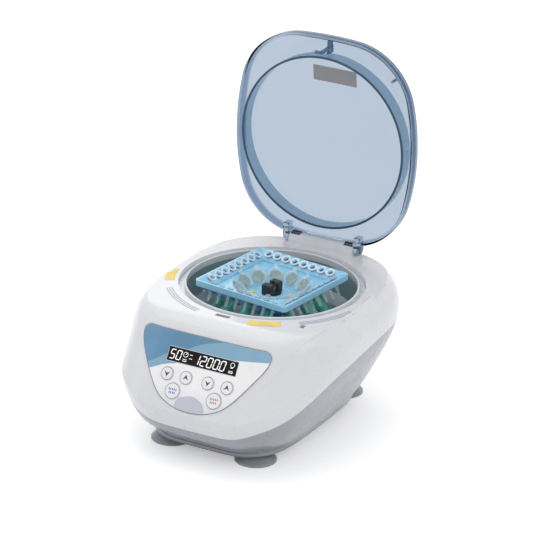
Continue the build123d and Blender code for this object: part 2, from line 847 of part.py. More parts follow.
def round_tubes(turn):
    """Capped microtubes standing in the funnel, leaning outwards, each with its liquid."""
    body_length = tube_length - cap_height
    cone_top = 21.0
    tip = 1.6
    outside = turned(
        [
            (0, -body_length),
            (tip, -body_length),
            (tube_radius - 0.2, -cone_top),
            (tube_radius, -cone_top + 1),
            (tube_radius, 0.2),
            (cap_radius - 0.1, 0.2),
            (cap_radius - 0.1, 1.0),
            (0, 1.0),
        ]
    )
    inside = turned(
        [
            (0, -body_length + 1.2),
            (tip - 0.7, -body_length + 1.2),
            (tube_radius - tube_wall - 0.2, -cone_top),
            (tube_radius - tube_wall, -cone_top + 1),
            (tube_radius - tube_wall, 1.0),
            (0, 1.0),
        ]
    )
    tube = outside - inside
    liquid_level = -7.0
    liquid = turned(
        [
            (0, -body_length + 1.2),
            (tip - 0.7, -body_length + 1.2),
            (tube_radius - tube_wall - 0.2, -cone_top),
            (tube_radius - tube_wall, -cone_top + 1),
            (tube_radius - tube_wall, liquid_level),
            (0, liquid_level),
        ]
    )
    cap = rod(cap_radius, 1.0, 1.0 + cap_height)
    cap -= rod(cap_radius - 1.6, 2.0, 1.0 + cap_height + 1)
    cap += box(cap_radius - 0.8, cap_radius + 3.4, -1.9, 1.9, 1.2, 2.0)
    cap += box(cap_radius + 2.0, cap_radius + 3.4, -1.9, 1.9, 1.2, 2.6)
    groups = {"round_tubes": tube, "tube_liquid": liquid, "tube_caps": cap}
    for name, shape in groups.items():
        placed = []
        for angle in rotor_places():
            place = leaning(angle, tube_ring_radius, tube_ring_z, funnel_slope) * Pos(0, 0, tube_lift)
            placed.append(turn * place * shape)
        keep(name, *placed)


def strip_tube(extra):
    """Outline of one strip tube about its own axis, less extra all round; Z = 0 on the band."""
    rim = strip_stand + strip_rim_height
    return [
        (0, strip_stand - strip_length + extra),
        (strip_tip_radius - extra * 0.8, strip_stand - strip_length + extra),
        (strip_waist_radius - extra, strip_stand - strip_waist_depth),
        (strip_neck_radius - extra, strip_stand - 0.6),
        (strip_neck_radius - extra, rim),
        (0, rim),
    ]


def strips(turn):
    """Four strips of eight open thin-walled tubes, joined by a web between their rims."""
    tube = turned(strip_tube(0.0)) + rod(strip_rim_radius, strip_stand, strip_stand + strip_rim_height)
    bore = turned(strip_tube(strip_skin))
    rows = strip_rows()
    placed = []
    for side in range(4):
        frame = turn * strip_location(side, 0.0)
        web = box(-1.3, 1.3, rows[0], rows[-1], strip_stand, strip_stand + strip_rim_height * 0.7)
        strip = web
        for along in rows:
            strip += Pos(0, along, 0) * tube
        for along in rows:
            strip -= Pos(0, along, 0) * bore
        placed.append(frame * strip)
    keep("tube_strips", *placed)


# Lid
def quadrant(half, reach, arcs):
    """Corner of the lid outline from the side to the end: side arc, corner arc, end arc, all tangent."""
    side, end, corner = arcs
    side_x = half - side
    end_y = reach - end
    away = sqrt(side_x**2 + end_y**2)
    ux, uy = -side_x / away, end_y / away
    a, b = side - corner, end - corner
    along = (a * a - b * b + away * away) / (2 * away)
    off = sqrt(a * a - along * along)
    cx, cy = side_x + along * ux - off * uy, along * uy + off * ux
    first = atan2(cy, cx - side_x)
    second = atan2(cy - end_y, cx)
    middle = (first + second) / 2
    points = [(side_x + side * cos(t), side * sin(t)) for t in (0, first / 2, first)]
    points += [(cx + corner * cos(t), cy + corner * sin(t)) for t in (middle, second)]
    points += [(end * cos(t), end_y + end * sin(t)) for t in ((second + pi / 2) / 2, pi / 2)]
    return points


def lid_face(inset, z):
    """Face of the lid's outline, drawn in by inset."""
    edges = []
    for reach, arcs, down in ((lid_rear, lid_rear_arcs, 1), (lid_front, lid_front_arcs, -1)):
        trimmed = [radius - inset for radius in arcs]
        points = quadrant(lid_half_width - inset, reach - inset, trimmed)
        for mirror in (1, -1):
            ring = [Vector(mirror * x, down * y, z) for x, y in points]
            for i in (0, 2, 4):
                edges.append(Edge.make_three_point_arc(ring[i], ring[i + 1], ring[i + 2]))
    return Face(Wire(Wire.combine(edges)[0].edges()))


def lid_mass(inset):
    """Lid outline carried straight up and capped by a shallow dome, its upper edge rounded."""
    bottom = deck_z + lid_gap
    prism = extrude(lid_face(inset, bottom), amount=40)
    radius = lid_dome_radius - inset
    centre = lid_top_z - lid_dome_radius
    reach = 150.0
    drop = sqrt(radius**2 - reach**2)
    half = sqrt(radius**2 - (reach / 2) ** 2)
    arc = ThreePointArc((0, 0, centre + radius), (reach / 2, 0, centre + half), (reach, 0, centre + drop))
    sides = Polyline((reach, 0, centre + drop), (reach, 0, 50), (0, 0, 50), (0, 0, centre + radius))
    mass = prism & revolve(make_face([arc, sides]), axis=Axis.Z)
    rims = [edge for edge in mass.edges() if edge.bounding_box().min.Z > bottom + 2]
    rims = [edge for edge in rims if edge.bounding_box().size.X + edge.bounding_box().size.Y > 6]
    return fillet(rims, lid_edge_radius - inset * 0.8)


def swing(shape):
    """Turns a piece of the lid from closed to its open place."""
    return shape.rotate(Axis((0, hinge_y, hinge_z), (1, 0, 0)), -lid_open_angle)


def spans(side, start, width, slack=0.0):
    """Ends along X of a hinge part on one side of the middle."""
    return sorted((side * (start - slack), side * (start + width + slack)))


def hump(grow):
    """Hinge hump on the rear of the deck, grown all round."""
    front = hinge_block_front - grow
    rear = hinge_block_front + 16.2 + grow
    top = hinge_block_top + grow
    profile = Polyline(
        (0, front, deck_z - 6),
        (0, front, deck_z + 2.6),
        (0, front + 0.8, top - 2.6),
        (0, front + 2.8, top),
        (0, front + 9.0, top),
        (0, front + 13.0, top - 2.4),
        (0, rear, deck_z - 6),
        close=True,
    )
    return extrude(make_face(profile), amount=hinge_block_half + grow, dir=(1, 0, 0), both=True)


def lid_ears(outer):
    """Two tabs that drop into the hump's slots, and two ears that stand outside its ends."""
    ears = None
    for side in (-1, 1):
        x0, x1 = spans(side, hinge_ear_x, hinge_ear_width)
        tab = box(x0, x1, hinge_y - hinge_ear_radius, hinge_y, hinge_z, lid_top_z)
        tab += box(x0, x1, hinge_y - 5.0, hinge_y, hinge_block_top + 0.5, lid_top_z)
        tab = tab & outer
        tab += cross_rod(hinge_ear_radius, x0, x1, hinge_y, hinge_z)
        ears = tab if ears is None else ears + tab
        x0, x1 = spans(side, outer_ear_x, outer_ear_width)
        low = hinge_z - outer_ear_radius
        ear = box(x0, x1, hinge_y - 10.0, hinge_y, low, lid_top_z) & outer
        ears += ear + cross_rod(outer_ear_radius, x0, x1, hinge_y, hinge_z)
    return ears


def lid():
    """Clear shell with a ring that drops into the deck's groove, hinge ears, hook and peg."""
    outer = lid_mass(0.0)
    bottom = deck_z + lid_gap
    cavity = lid_mass(lid_wall)
    shell = outer - cavity - (extrude(lid_face(lid_wall, bottom - 1), amount=3))
    ring = pipe(ring_radius + ring_wall, ring_radius, ring_bottom_z, lid_top_z)
    shell += ring & (cavity + rod(ring_radius + 5, ring_bottom_z - 1, bottom + 1))
    room = hump(0.4)
    for i in range(5):
        shell -= room.rotate(Axis((0, hinge_y, hinge_z), (1, 0, 0)), lid_open_angle * i / 4)
    shell += lid_ears(outer)
    pin_reach = outer_ear_x + outer_ear_width - 0.8
    for side in (-1, 1):
        x0, x1 = spans(side, hinge_ear_x - 1, pin_reach - hinge_ear_x + 1)
        shell -= cross_rod(hinge_pin_radius + shaft_gap, x0, x1, hinge_y, hinge_z)
    peg = rod(peg_radius, peg_bottom_z, lid_top_z, peg_place()[0], peg_place()[1])
    shell += peg & (cavity + box(40, 80, -90, -40, 90, bottom + 1))
    keep("lid_shell", swing(shell))
    seal = pipe(ring_radius + ring_wall + 0.15, ring_radius - 0.15, ring_bottom_z - ring_seal_height, ring_bottom_z)
    keep("lid_ring_seal", swing(seal))

    blade_w, blade_d = hook_blade
    y0, y1 = hook_y() - blade_d / 2, hook_y() + blade_d / 2
    hook = box(-blade_w / 2, blade_w / 2, y0, y1, hook_bottom_z, lid_top_z)
    hook += box(-0.9, 0.9, hook_y() - 6.5, hook_y() + 5.0, bottom + 3.0, lid_top_z)
    hook = hook & (cavity + box(-20, 20, y0, y1, 90, bottom + 1))
    hook += box(-blade_w / 2 - hook_nose, 0, y0, y1, hook_bottom_z, hook_bottom_z + hook_nose_height)
    keep("lid_hook", swing(hook))
    label = box(-18.5, 21.7, -61.2, -47.6, 100, 140)
    label = label & (cavity - (Pos(0, 0, -0.4) * cavity))
    keep("lid_plate", swing(label))


def hook_y():
    """Depth of the lid hook's blade, towards the chamber side of its slot."""
    return latch_slot_y + 0.4


def peg_place():
    """Where the lid's switch peg stands, inside the lid's corner."""
    return switch_slot_x - 0.6, switch_slot_y + 0.8


def hinge(outer):
    """Hinge hump on the rear of the deck, slotted for the lid's two tabs, with its pins."""
    block = hump(0.0) - outer
    block = block & box(-60, 60, 0, 200, deck_z - 4, 200)
    pins = []
    for side in (-1, 1):
        x0, x1 = spans(side, hinge_ear_x, hinge_ear_width, hinge_gap)
        room = cross_rod(hinge_ear_radius + hinge_gap, x0, x1, hinge_y, hinge_z)
        front = hinge_y - hinge_ear_radius - hinge_gap
        room += box(x0, x1, front, hinge_y + 20, hinge_z, hinge_z + 20)
        block -= room
        p0, p1 = spans(side, hinge_ear_x - 3.5, outer_ear_x + outer_ear_width - 1.0 - hinge_ear_x + 3.5)
        pins.append(cross_rod(hinge_pin_radius, p0, p1, hinge_y, hinge_z))
        block -= pins[-1]
    keep("hinge_block", block)
    keep("hinge_pins", *pins)


# Latch under the deck
def latch():
    """Solenoid whose plunger carries the catch over the hook's nose, and the lid switch with its lever."""
    y = hook_y()
    rail_z = hook_bottom_z + hook_nose_height + 0.5
    plunger_z = rail_z - 6.0
    catch = box(-16.0, -6.6, y - 1.8, y + 1.8, rail_z, rail_z + 2.0)
    catch += box(-16.0, -13.5, y - 1.8, y + 1.8, rail_z - 8.0, rail_z + 1.0)
    catch += cross_rod(plunger_radius, -30.0, -14.5, y, plunger_z)
    keep("latch_catch", catch)
    half = solenoid_half
    coil = box(-40.0, -20.0, y - half, y + half, plunger_z - half, plunger_z + half)
    coil -= cross_rod(plunger_radius + shaft_gap, -34.0, -19.0, y, plunger_z)
    bracket = box(-42.0, -19.0, y - half - 1, y + half + 1, plunger_z + half, plunger_z + half + 1.2)
    bracket += box(-42.0, -40.0, y - half - 1, y + half + 1, plunger_z - half, plunger_z + half + 1)
    keep("latch_solenoid", coil)
    keep("latch_bracket", bracket)

    sx, sy = peg_place()
    lever_z = peg_bottom_z - 2.6
    keep("lid_switch", box(sx - 9.0, sx + 3.0, sy - 3.0, sy + 3.0, lever_z - 7.6, lever_z - 1.6))
    lever = box(sx - 9.0, sx + 2.4, sy - 1.6, sy + 1.6, lever_z, lever_z + 0.6)
    lever += box(sx - 1.4, sx + 1.4, sy - 1.6, sy + 1.6, lever_z + 0.6, lever_z + 2.4)
    lever += depth_rod(0.5, sy - 1.6, sy + 1.6, sx - 8.5, lever_z + 0.3)
    keep("lid_switch_lever", lever)


# Control panel
def overlay_outline():
    """Panel outline: straight top with round corners, sides that draw in to a round bottom."""
    w, top, bottom = overlay_half_width, overlay_top, overlay_bottom
    corner = 9.0
    right = [
        (w - corner, top),
        (w - 2.2, top - 2.4),
        (w, top - corner + 0.5),
        (w - 2.0, top - 14.5),
        (w - 7.8, top - 24.5),
        (w - 15.4, top - 35.1),
        (w - 24.0, bottom + 14.2),
        (w - 33.0, bottom + 6.6),
        (w - 43.0, bottom + 2.0),
        (0, bottom),
    ]
    left = [(-x, y) for x, y in reversed(right[:-1])]
    curve = Spline(*(right + left))
    line = Line(left[-1], right[0])
    return make_face([curve, line])


def control_panel():
    """Printed overlay, display, six keys on their switches, and the control board."""
    prism = extrude(panel_plane(20).location * overlay_outline(), amount=24)
    overlay = (prism & sheet_cutter(0.0)) - sheet_cutter(-overlay_thickness)
    overlay -= panel_box(-display_half_width, display_half_width, display_low, display_high, -3, 3)
    for x, up, radius in key_places().values():
        overlay -= panel_rod(radius + key_gap, -3, 3, x, up)
    keep("panel_overlay", overlay)
    window = panel_box(-display_half_width, display_half_width, display_low, display_high, -overlay_thickness, 0)
    keep("display_window", window & sheet_cutter(-0.05))
    inset = 1.2
    module = panel_box(
        -display_half_width + inset, display_half_width - inset, display_low + inset, display_high - inset, 0.2, 5.0
    )
    module += panel_box(
        -display_half_width - 3, display_half_width + 3, display_low - 2, display_high + 3, casing_wall + 0.4, 7.0
    )
    keep("display_module", module)

    for name, (x, up, radius) in key_places().items():
        cap = panel_rod(radius, -key_height - overlay_thickness, -key_travel - key_end_gap, x, up)
        stem = panel_rod(key_stem_radius, -0.5, board_depth - 4.4, x, up)
        keep(name, cap + stem)
    switches = []
    for x, up, radius in key_places().values():
        half = switch_size / 2
        body = panel_box(x - half, x + half, up - half, up + half, board_depth - 3.6, board_depth)
        switches.append(body)
    keep("key_switches", *switches)
    board = panel_box(
        -board_half_width, board_half_width, board_low, board_high, board_depth, board_depth + board_thickness
    )
    for x, up in board_posts():
        board -= panel_rod(1.4, board_depth - 1, board_depth + 4, x, up)
        depth = board_depth + board_thickness
        shank = panel_rod(1.0, board_depth - 4.5, depth, x, up)
        small_screws.append(shank + panel_rod(screw_head_radius, depth, depth + screw_head_height, x, up))
    keep("control_board", board)
    chips = []
    for x, up, w, h, tall in ((-18, -6, 12, 12, 1.6), (8, -8, 9, 6, 2.0), (26, 6, 7, 10, 5.0), (-34, 12, 6, 6, 7.0)):
        depth = board_depth + board_thickness
        chips.append(panel_box(x - w / 2, x + w / 2, up - h / 2, up + h / 2, depth, depth + tall))
    keep("control_chips", *chips)


# Power entry
def power_entry():
    """Inlet with its three pins and fuse drawer, rocker switch, and the power board."""
    y = rear_panel_y
    w, h = inlet_flange
    cw, ch = inlet_cavity
    shell = depth_box(inlet_x, inlet_z, w, h, y, y + 2.0)
    shell += depth_box(inlet_x, inlet_z, cw + 2.6, ch + 2.6, y - inlet_depth + 1, y + 1)
    shell -= depth_box(inlet_x, inlet_z, cw, ch, y - inlet_depth + 3, y + 3)
    pins = []
    for dx, dz in ((-7, 2.0), (0, 5.2), (7, 2.0)):
        pin = depth_box(inlet_x + dx, inlet_z + dz, 2.0, 4.0, y - inlet_depth - 4, y - 3)
        shell -= pin
        pins.append(pin)
    keep("inlet_pins", *pins)

    dw, dh = fuse_drawer_size
    sleeve = shell + depth_box(inlet_x, fuse_drawer_z, dw + 5, dh + 3.6, y, y + 2.0)
    sleeve += depth_box(inlet_x, fuse_drawer_z, dw + 2.6, dh + 2.6, y - 27, y + 1)
    sleeve -= depth_box(inlet_x, fuse_drawer_z, dw + 0.4, dh + 0.4, y - 25.5, y + 3)
    keep("power_inlet", sleeve)
    drawer = depth_box(inlet_x, fuse_drawer_z, dw, dh, y - 25, y + 1.4)
    drawer += depth_box(inlet_x, fuse_drawer_z, dw - 8, 1.6, y + 1.4, y + 3.0)
    drawer -= depth_box(inlet_x, fuse_drawer_z + 1.2, dw - 3, dh - 1.0, y - 23.5, y - 2)
    keep("fuse_drawer", drawer)
    fuses = [glass_fuse(inlet_x + dx, fuse_drawer_z + 1.0, y - 12.75) for dx in (-5.2, 5.2)]
    keep("fuses", *fuses)

    rw, rh = rocker_size
    frame = depth_box(rocker_x, rocker_z, rw + 5, rh + 5, y, y + 1.8)
    frame += depth_box(rocker_x, rocker_z, rw + 2.8, rh + 2.8, y - 14, y + 1)
    frame -= depth_box(rocker_x, rocker_z, rw + 0.6, rh + 1.4, y - 12, y + 3)
    keep("switch_frame", frame)
    pivot_y = y - 4.0
    wedge = Polyline(
        (0, pivot_y, -rh / 2 + 0.4),
        (0, y + 0.4, -rh / 2),
        (0, y + 1.9, -2.0),
        (0, y + 2.4, 0.0),
        (0, y + 4.2, rh / 2 - 0.8),
        (0, pivot_y, rh / 2 - 1.6),
        (0, pivot_y - 3.0, 0.0),
        close=True,
    )
    rocker = extrude(make_face(wedge), amount=rw / 2, dir=(1, 0, 0), both=True)
    rocker += cross_rod(1.2, -rw / 2 - 0.2, rw / 2 + 0.2, pivot_y, 0)
    keep("power_rocker", Pos(rocker_x, 0, rocker_z) * rocker)

    z = power_board_z
    half = power_board_half
    board = box(-half, half, power_board_front, power_board_rear, z, z + 1.6)
    for x, py in power_board_posts():
        board -= rod(1.4, z - 1, z + 3, x, py)
        small_screws.append(screw(x, py, z + 1.6, 6.5, 1.0, up=False))
    keep("power_board", board)
    top = z + 1.6
    parts = [
        box(-24, -6, 46, 60, top, top + 17),
        rod(6, top, top + 11, 4, 56),
        rod(6, top, top + 11, 17.5, 56),
        box(12, 25, 43.2, 47.2, top, top + 9),
    ]
    keep("power_parts", *parts)
    keep("heat_sink", heat_sink(top))


def glass_fuse(x, z, y):
    """Glass fuse 5 by 20 mm lying along Y."""
    return depth_rod(2.3, y - 10, y + 10, x, z)


def heat_sink(z):
    """Finned block on the power board."""
    sink = box(-4.5, 10, 43, 45, z, z + 18)
    for i in range(4):
        x = -4.5 + i * 4.4
        sink += box(x, x + 1.3, 45, 48.6, z, z + 18)
    return sink


outer_skin = casing()
feet()
case_screws()
chamber()
motor()
spindle()
rotor()
lid()
hinge(outer_skin)
latch()
control_panel()
power_entry()
keep("small_screws", *small_screws)

os.makedirs("parts", exist_ok=True)
for name, shape in pieces.items():
    export_step(Pos(0, axis_to_centre, 0) * shape, "parts/" + name + ".step")
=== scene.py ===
import json
import math

import bpy
import numpy as np
from mathutils import Matrix, Vector
from mathutils.bvhtree import BVHTree


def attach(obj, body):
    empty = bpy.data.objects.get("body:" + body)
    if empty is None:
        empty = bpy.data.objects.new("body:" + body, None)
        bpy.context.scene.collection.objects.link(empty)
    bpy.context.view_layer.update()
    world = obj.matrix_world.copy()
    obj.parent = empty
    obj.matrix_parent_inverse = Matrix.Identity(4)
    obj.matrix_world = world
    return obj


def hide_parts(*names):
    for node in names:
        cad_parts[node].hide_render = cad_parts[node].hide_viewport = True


# Bench centrifuge with a clear lid. Lengths are in millimetres about the spin axis, x to the
# right, y to the rear, z up from the bench; `place` takes them to the row frame in metres.
AXIS_TO_CENTRE = 16.4
DECK_HEIGHT = 112.0
ROTOR_TURN = math.radians(-7.7)

# Front sheet: points on it are (x, up), from the middle of the upper row of keys up the slope
SHEET_SLOPE = math.radians(59.7)
KEY_ROW_DEPTH, KEY_ROW_HEIGHT = -123.2, 71.2
BOW, BOW_AT, BOW_POWER = 9.4, 69.0, 6

# Keys: x, up, radius, sign
KEYS = {
    "key_time_down": (-27.4, 0.0, 5.4, "down"),
    "key_time_up": (-10.1, 0.0, 5.4, "up"),
    "key_speed_down": (9.9, 0.0, 5.4, "down"),
    "key_speed_up": (27.3, 0.0, 5.4, "up"),
    "key_short_spin": (-18.8, -12.6, 6.6, "pulse"),
    "key_start_stop": (19.0, -12.6, 6.6, "run"),
}
KEY_GAP = 0.25

# Heights above the front sheet, lowest first
FILM_LIFT, BAND_LIFT, CORNER_LIFT, BORDER_LIFT = 0.44, 0.46, 0.48, 0.50
WINDOW_FRAME_LIFT, FIGURE_LIFT, KEY_SIGN_LIFT = 0.54, 0.56, 1.43

# Printed film: its offset on the sheet, half width, straight top, how far the colours stay inside
# its edge, and edges as (x, up) points
FILM_X, FILM_UP = -1.2, -1.4
FILM_HALF, FILM_TOP = 58.4, 30.0
FILM_INSET, FOOT_INSET, BORDER_WIDTH = 0.3, 0.4, 0.6
FILM_LOWER_EDGE = [
    (0, -25.3), (12, -24), (22, -20.5), (29.5, -16), (36.5, -8.5), (43, 0.5), (50.5, 12),
    (56.0, 21.5), (57.8, 26.5), (58.4, 30),
]
BAND_LOWER_EDGE = [
    (-58, -7), (-45.4, 1.0), (-40.3, 3.7), (-30.5, 8.4), (-23.3, 10.5), (-8, 15.5), (8, 20.5),
    (20.6, 23.4), (29.2, 24.3), (44, 26.2), (58.4, 27.6),
]
CORNER_LOWER_EDGE = [
    (-58, 3), (-47.8, 6), (-40.2, 10.7), (-32.8, 15.9), (-14, 24.2), (-6.5, 28.9), (1.4, 32.1),
    (8.5, 34.2), (16, 36.2),
]
CORNER_END = 15.5
FOOT_UPPER_EDGE = [
    (-13, -19.0), (-11.3, -15.9), (-6.9, -13.9), (-0.8, -12.0), (6.3, -13.4), (12, -17.5), (14, -21.0),
]

# Crease from the deck down the right of the front, and the step behind the front sheet's end
CREASE = [
    (80.7, 46.5, 112.0), (85.2, 11.0, 112.0), (86.0, -14.6, 112.0), (85.2, -28.4, 112.0),
    (82.4, -44.6, 112.0), (80.1, -59.6, 112.0), (77.8, -73.2, 110.8), (74.9, -83.2, 107.7),
    (71.8, -91.7, 103.3), (69.2, -98.2, 98.0), (66.6, -103.9, 92.4), (63.3, -109.2, 86.7),
    (59.4, -114.3, 81.3), (54.2, -119.9, 76.3),
]
STEP_HEIGHTS = (76, 78, 82, 86, 90, 94, 98)
STEP_DEPTHS = (-69.5, -69, -69, -67, -63, -59, -56)
SHOULDER_LOW, SHOULDER_HIGH, SHOULDER_REACH = 76.0, 97.0, 15.0

# Rows of small tubes: distance of a row from the axis, height, slope of the rim, pitch
ROW_HALF, BAND_HEIGHT, BAND_SLOPE, TUBE_PITCH = 39.4, 114.75, math.radians(28), 9.0
BORE_RADIUS = 2.45

# Open lid: height of its ring's axis, and a radius just outside the ring
OPEN_RING_HEIGHT, RING_OUTSIDE = 208.6, 77.0

# Every finish: smears to a patch of colour, depth of the grain in metres, roughness of the coat
SMEARS_PER_PATCH, GRAIN_DEPTH, COAT_ROUGHNESS = 2.3, 0.0004, 0.06

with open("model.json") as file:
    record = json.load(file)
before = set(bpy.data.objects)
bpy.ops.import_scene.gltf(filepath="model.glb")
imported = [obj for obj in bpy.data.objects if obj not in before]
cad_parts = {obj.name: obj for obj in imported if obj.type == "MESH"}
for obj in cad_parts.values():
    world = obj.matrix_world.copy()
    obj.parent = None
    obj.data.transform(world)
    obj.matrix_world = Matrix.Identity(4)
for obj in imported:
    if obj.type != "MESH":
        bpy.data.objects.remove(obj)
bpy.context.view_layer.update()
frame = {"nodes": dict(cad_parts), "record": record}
nodes = frame["nodes"]


def place(points):
    """Millimetres about the spin axis to metres in the row frame."""
    return (np.asarray(points, float) + (0.0, AXIS_TO_CENTRE, 0.0)) * 0.001


# Shader nodes
def feed(tree, socket, value):
    """Sets a socket to a value, or links it from another socket."""
    if isinstance(value, bpy.types.NodeSocket):
        tree.links.new(value, socket)
    else:
        socket.default_value = value


def add(tree, kind, inputs, **settings):
    """New shader node with its settings and inputs."""
    node = tree.nodes.new("ShaderNode" + kind)
    for key, value in settings.items():
        setattr(node, key, value)
    for key, value in inputs.items():
        feed(tree, node.inputs[key], value)
    return node


def noise(tree, where, scale, detail=4.0):
    """Noise of the object's own coordinates, scale in bumps per metre."""
    return add(tree, "TexNoise", {"Vector": where, "Scale": scale, "Detail": detail}).outputs["Fac"]


def spread(tree, value, low, high, start=0.35, end=0.65):
    """Maps the range from start to end, the middle of a noise, to the range from low to high."""
    inputs = {"Value": value, "From Min": start, "From Max": end, "To Min": low, "To Max": high}
    return add(tree, "MapRange", inputs).outputs["Result"]


def mixed(tree, share, first, second):
    """Colour between two colours."""
    inputs = {"Factor": share, "A": first, "B": second}
    return add(tree, "Mix", inputs, data_type="RGBA").outputs["Result"]


def mottled(tree, where, color, scale, share):
    """Colour with slow patches that are a little darker and lighter."""
    low = [c * (1 - share) for c in color]
    high = [min(1.0, c * (1 + share)) for c in color]
    return mixed(tree, spread(tree, noise(tree, where, scale), 0.0, 1.0), (*low, 1), (*high, 1))


def graded_below(tree, where, shown, low, high, below):
    """Colour that changes up the piece, to another one below the two heights."""
    height = add(tree, "SeparateXYZ", {"Vector": where}).outputs["Z"]
    share = spread(tree, height, 0.0, 1.0, low * 0.001, high * 0.001)
    return mixed(tree, share, (*below, 1), shown)


def inside_or_out(tree, where, height, radius, inner, outer):
    """One colour inside a cylinder that runs from front to rear at this height, another outside it."""
    flat = add(tree, "VectorMath", {0: where, 1: (1, 0, 1)}, operation="MULTIPLY").outputs["Vector"]
    axis = (0, 0, height * 0.001)
    reach = add(tree, "VectorMath", {0: flat, 1: axis}, operation="DISTANCE").outputs["Value"]
    outside = spread(tree, reach, 0.0, 1.0, radius * 0.001, (radius + 1) * 0.001)
    return mixed(tree, outside, (*inner, 1), (*outer, 1))


def finish(
    name,
    color,
    rough,
    metal=0.0,
    grain=(900.0, 0.04),
    mottle=(30.0, 0.03),
    smear=0.05,
    coat=0.0,
    clear=0.0,
    ior=1.46,
    soft=0.0,
    brushed=None,
    glow=0.0,
    tint=None,
    fade=None,
    cover=1.0,
    facing=None,
    within=None,
):
    """A finish: base colour with slow mottling, roughness with smears, and a bump for the grain.

    grain: bumps per metre, strength
    mottle: patches per metre, share of the colour that varies
    brushed: stretch of the grain along x, y and z
    tint: colour and density per metre inside clear stuff
    fade: lower height, upper height, colour below
    cover: share that thin clear stuff hides of what lies behind it
    facing: axis, low, high, and the colour and cover of faces that turn away from that axis
    within: height, radius and colour, for faces that turn away inside that cylinder
    """
    material = bpy.data.materials.new(name)
    material.use_nodes = True
    tree = material.node_tree
    coordinates = add(tree, "TexCoord", {})
    where = coordinates.outputs["Object"]
    shown = mottled(tree, where, color, *mottle)
    if fade:
        shown = graded_below(tree, where, shown, *fade)
    seen_cover = cover
    if facing:
        axis, low, high, away, away_cover = facing
        normal = add(tree, "SeparateXYZ", {"Vector": coordinates.outputs["Normal"]}).outputs[axis]
        size = add(tree, "Math", {0: normal}, operation="ABSOLUTE").outputs["Value"]
        turned = inside_or_out(tree, where, *within, away) if within else (*away, 1)
        shown = mixed(tree, spread(tree, size, 0.0, 1.0, low, high), turned, shown)
        if cover < 1:
            seen_cover = spread(tree, size, away_cover, cover, low, high)
    smears = noise(tree, where, mottle[0] * SMEARS_PER_PATCH, 3.0)
    if brushed:
        where = add(tree, "Mapping", {"Vector": where, "Scale": brushed}).outputs["Vector"]
    height = noise(tree, where, grain[0], 3.0)
    bump = add(tree, "Bump", {"Strength": grain[1], "Distance": GRAIN_DEPTH, "Height": height})
    values = {
        "Base Color": shown,
        "Roughness": spread(tree, smears, max(0.0, rough - smear), rough + smear),
        "Normal": bump.outputs["Normal"],
        "Metallic": metal,
        "IOR": ior,
        "Coat Weight": coat,
        "Coat Roughness": COAT_ROUGHNESS,
        "Transmission Weight": clear,
        "Alpha": seen_cover,
    }
    if soft:
        values |= {"Subsurface Weight": soft, "Subsurface Radius": (0.003,) * 3, "Subsurface Scale": 1.0}
    if glow:
        values |= {"Emission Color": (*color, 1), "Emission Strength": glow}
    for key, value in values.items():
        feed(tree, tree.nodes["Principled BSDF"].inputs[key], value)
    if tint:
        absorb = add(tree, "VolumeAbsorption", {"Color": (*tint[0], 1), "Density": tint[1]})
        feed(tree, tree.nodes["Material Output"].inputs["Volume"], absorb.outputs["Volume"])
    return material


def mouldings():
    """Painted, moulded and rubber finishes by slot."""
    return {
        "casing_white": finish(
            "white_moulding", (0.765, 0.77, 0.80), 0.26, coat=0.3, grain=(1500, 0.02), mottle=(14, 0.012)
        ),
        # Grey base: darker below 22 mm, painted shade where the base rounds under towards the floor
        "casing_grey": finish(
            "grey_moulding", (0.35, 0.365, 0.40), 0.3, coat=0.3, grain=(2200, 0.04), mottle=(22, 0.03),
            fade=(4.0, 22.0, (0.27, 0.285, 0.32)),
        ),
        "foot_rubber": finish(
            "cup_rubber", (0.27, 0.29, 0.33), 0.3, coat=0.3, soft=0.2, grain=(1400, 0.05), mottle=(60, 0.06)
        ),
        "seal_white": finish("lip_plastic", (0.76, 0.77, 0.80), 0.3, coat=0.2, grain=(1500, 0.03)),
        "seal_black": finish("black_rubber", (0.03, 0.03, 0.032), 0.6, grain=(1500, 0.1), mottle=(80, 0.15)),
        "black_plastic": finish(
            "black_moulding", (0.022, 0.022, 0.025), 0.38, grain=(1800, 0.08), mottle=(90, 0.12)
        ),
        "blue_plastic": finish(
            "core_blue", (0.02, 0.34, 0.72), 0.3, coat=0.3, soft=0.15, grain=(1500, 0.03), mottle=(40, 0.08)
        ),
        "tray_blue": finish(
            "tray_pale_blue", (0.33, 0.66, 0.88), 0.3, coat=0.25, soft=0.15, grain=(1500, 0.04),
            mottle=(30, 0.03),
        ),
        "lid_grey": finish("plate_grey", (0.30, 0.30, 0.31), 0.4, grain=(1600, 0.06)),
        "lid_seal_blue": finish("bead_blue", (0.03, 0.075, 0.13), 0.4, grain=(1200, 0.06), mottle=(60, 0.1)),
        # White film: greyer towards its lower edge
        "panel_film": finish(
            "film_white", (0.97, 0.97, 0.99), 0.3, coat=0.3, grain=(1800, 0.02),
            fade=(46.0, 66.0, (0.76, 0.78, 0.86)),
        ),
        "key_white": finish("key_plastic", (0.91, 0.91, 0.95), 0.3, coat=0.25, grain=(2000, 0.03)),
    }


